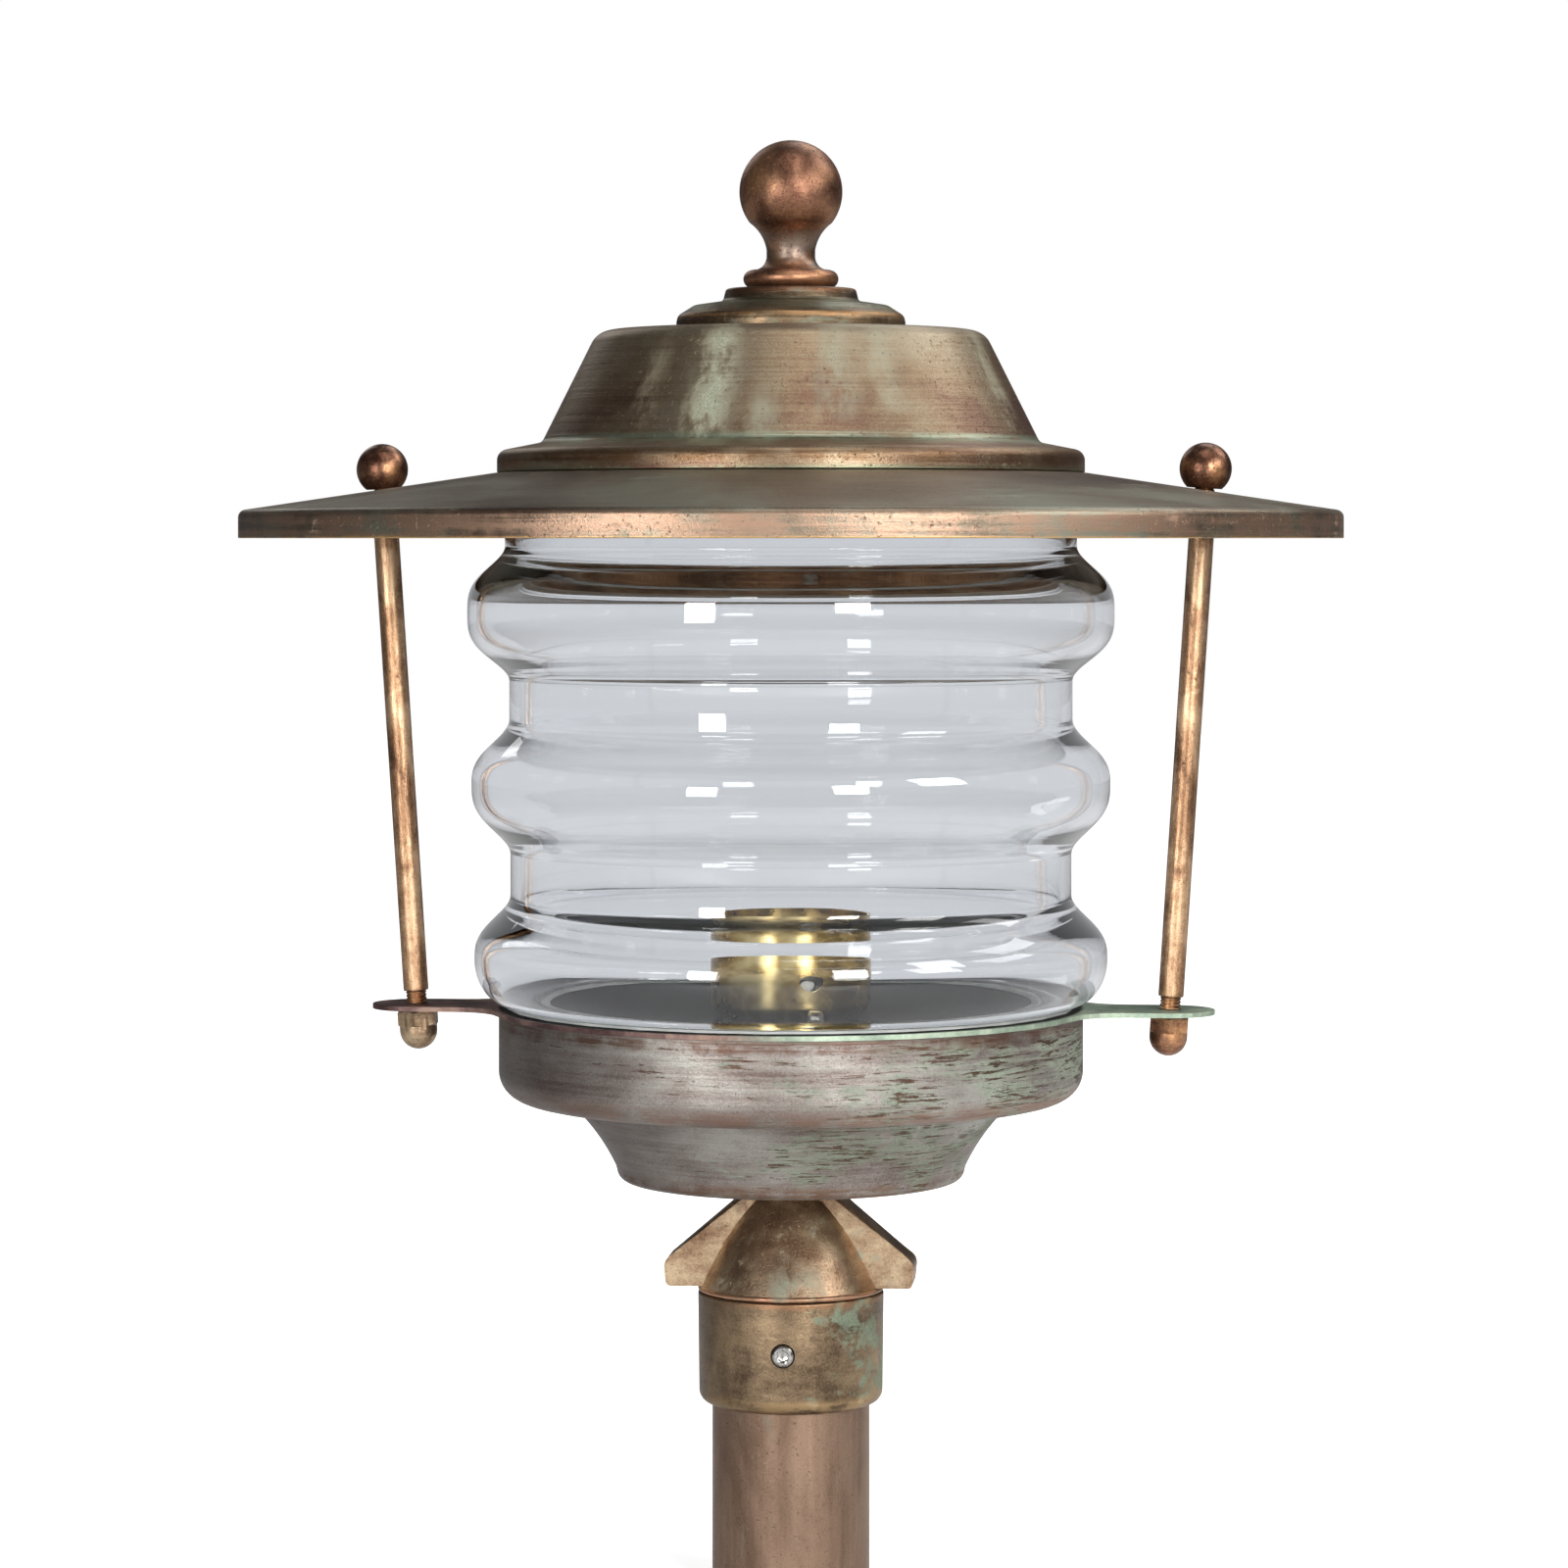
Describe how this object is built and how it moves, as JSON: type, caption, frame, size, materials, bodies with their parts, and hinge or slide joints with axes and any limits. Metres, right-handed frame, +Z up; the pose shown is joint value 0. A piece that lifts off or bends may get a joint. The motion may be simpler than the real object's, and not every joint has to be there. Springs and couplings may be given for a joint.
{
  "type": "ship lantern",
  "caption": "Post-top ship's lantern: wide patinated copper roof with a ball finial, ribbed clear glass between leaning tie rods, spun dish, and a finned neck clamped on a pole.",
  "frame": {"origin": "centre of the pole stub's lower end", "axes": "+Z up along the pole and through the finial; the tie rods are on +X and -X; the set screw faces -Y"},
  "size_m": [0.42, 0.42, 0.5522],
  "materials": {
    "roof_copper": "weathered copper, brown with green runs",
    "dish_copper": "weathered copper, grey-green with brown streaks",
    "bronze": "aged bronze, satin",
    "turned_copper": "warm copper, polished by handling",
    "rod_brass": "aged brass, satin",
    "lamp_cup_brass": "bright brass, lightly stained",
    "clear_glass": "clear blown glass",
    "porcelain": "glazed white",
    "steel": "plain stainless",
    "silicone": "translucent silicone",
    "black_nylon": "matte",
    "wire_brown": "wire insulation",
    "wire_blue": "wire insulation",
    "wire_green": "wire insulation"
  },
  "bodies": {
    "pole": {"pole_tube": "bronze"},
    "head": {"post_collar": "bronze", "neck_casting": "bronze", "lower_cup": "dish_copper", "base_dish": "dish_copper", "lug_plate": "dish_copper", "dish_pillar_1": "steel", "dish_pillar_2": "steel", "dish_pillar_3": "steel", "pillar_screw_1": "steel", "pillar_screw_2": "steel", "pillar_screw_3": "steel", "lower_nipple": "steel", "nipple_nut_lower": "steel", "nipple_nut_upper": "steel", "cable_gland": "black_nylon", "lamp_nipple": "steel", "lamp_nut_lower": "steel", "lamp_nut_upper": "steel", "lamp_cup": "lamp_cup_brass", "lampholder_body": "porcelain", "lampholder_shell": "lamp_cup_brass", "lampholder_contact": "lamp_cup_brass", "lampholder_screw": "steel", "terminal_block": "porcelain", "wire_live": "wire_brown", "wire_neutral": "wire_blue", "wire_earth": "wire_green", "wire_grommet": "silicone", "earth_screw": "steel", "earth_nut": "steel", "tie_rod_left": "rod_brass", "tie_rod_right": "rod_brass", "cap_nut_left": "rod_brass", "cap_nut_right": "turned_copper", "rod_nut_left": "steel", "rod_nut_right": "steel", "rod_washer_left": "steel", "rod_washer_right": "steel", "lower_gasket": "silicone"},
    "glass": {"ribbed_glass": "clear_glass"},
    "roof": {"roof_brim": "roof_copper", "roof_crown": "roof_copper", "gallery_ring": "rod_brass", "upper_gasket": "silicone", "roof_screw_1": "steel", "roof_screw_2": "steel", "roof_screw_3": "steel", "roof_nut_1": "steel", "roof_nut_2": "steel", "roof_nut_3": "steel", "finial_boss": "turned_copper", "finial_stud": "steel", "crown_washer": "steel", "crown_nut": "steel", "finial": "turned_copper"},
    "ball_nut_left": {"ball_nut_left": "turned_copper"},
    "ball_nut_right": {"ball_nut_right": "turned_copper"},
    "set_screw": {"set_screw": "steel"}
  },
  "joints": [
    {"name": "head_swivel", "type": "hinge", "parent": "pole", "child": "head", "pos_m": [0, 0, 0.09], "axis": [0, 0, 1], "continuous": true},
    {"name": "set_screw_turn", "type": "hinge", "parent": "head", "child": "set_screw", "pos_m": [0, -0.0333, 0.0933], "axis": [0, -1, 0], "continuous": true},
    {"name": "roof_lift", "type": "slide", "parent": "head", "child": "roof", "axis": [0, 0, 1], "range_m": [0, 0.3]},
    {"name": "glass_lift", "type": "slide", "parent": "head", "child": "glass", "axis": [0, 0, 1], "range_m": [0, 0.12]},
    {"name": "ball_nut_left_turn", "type": "hinge", "parent": "roof", "child": "ball_nut_left", "pos_m": [-0.158, 0, 0.4264], "axis": [-0.0657, 0, 0.9978], "continuous": true},
    {"name": "ball_nut_right_turn", "type": "hinge", "parent": "roof", "child": "ball_nut_right", "pos_m": [0.158, 0, 0.4264], "axis": [0.0657, 0, 0.9978], "continuous": true}
  ],
  "couplings": [
    {"joint": "glass_lift", "follows": "roof_lift", "ratio": 0.4}
  ]
}
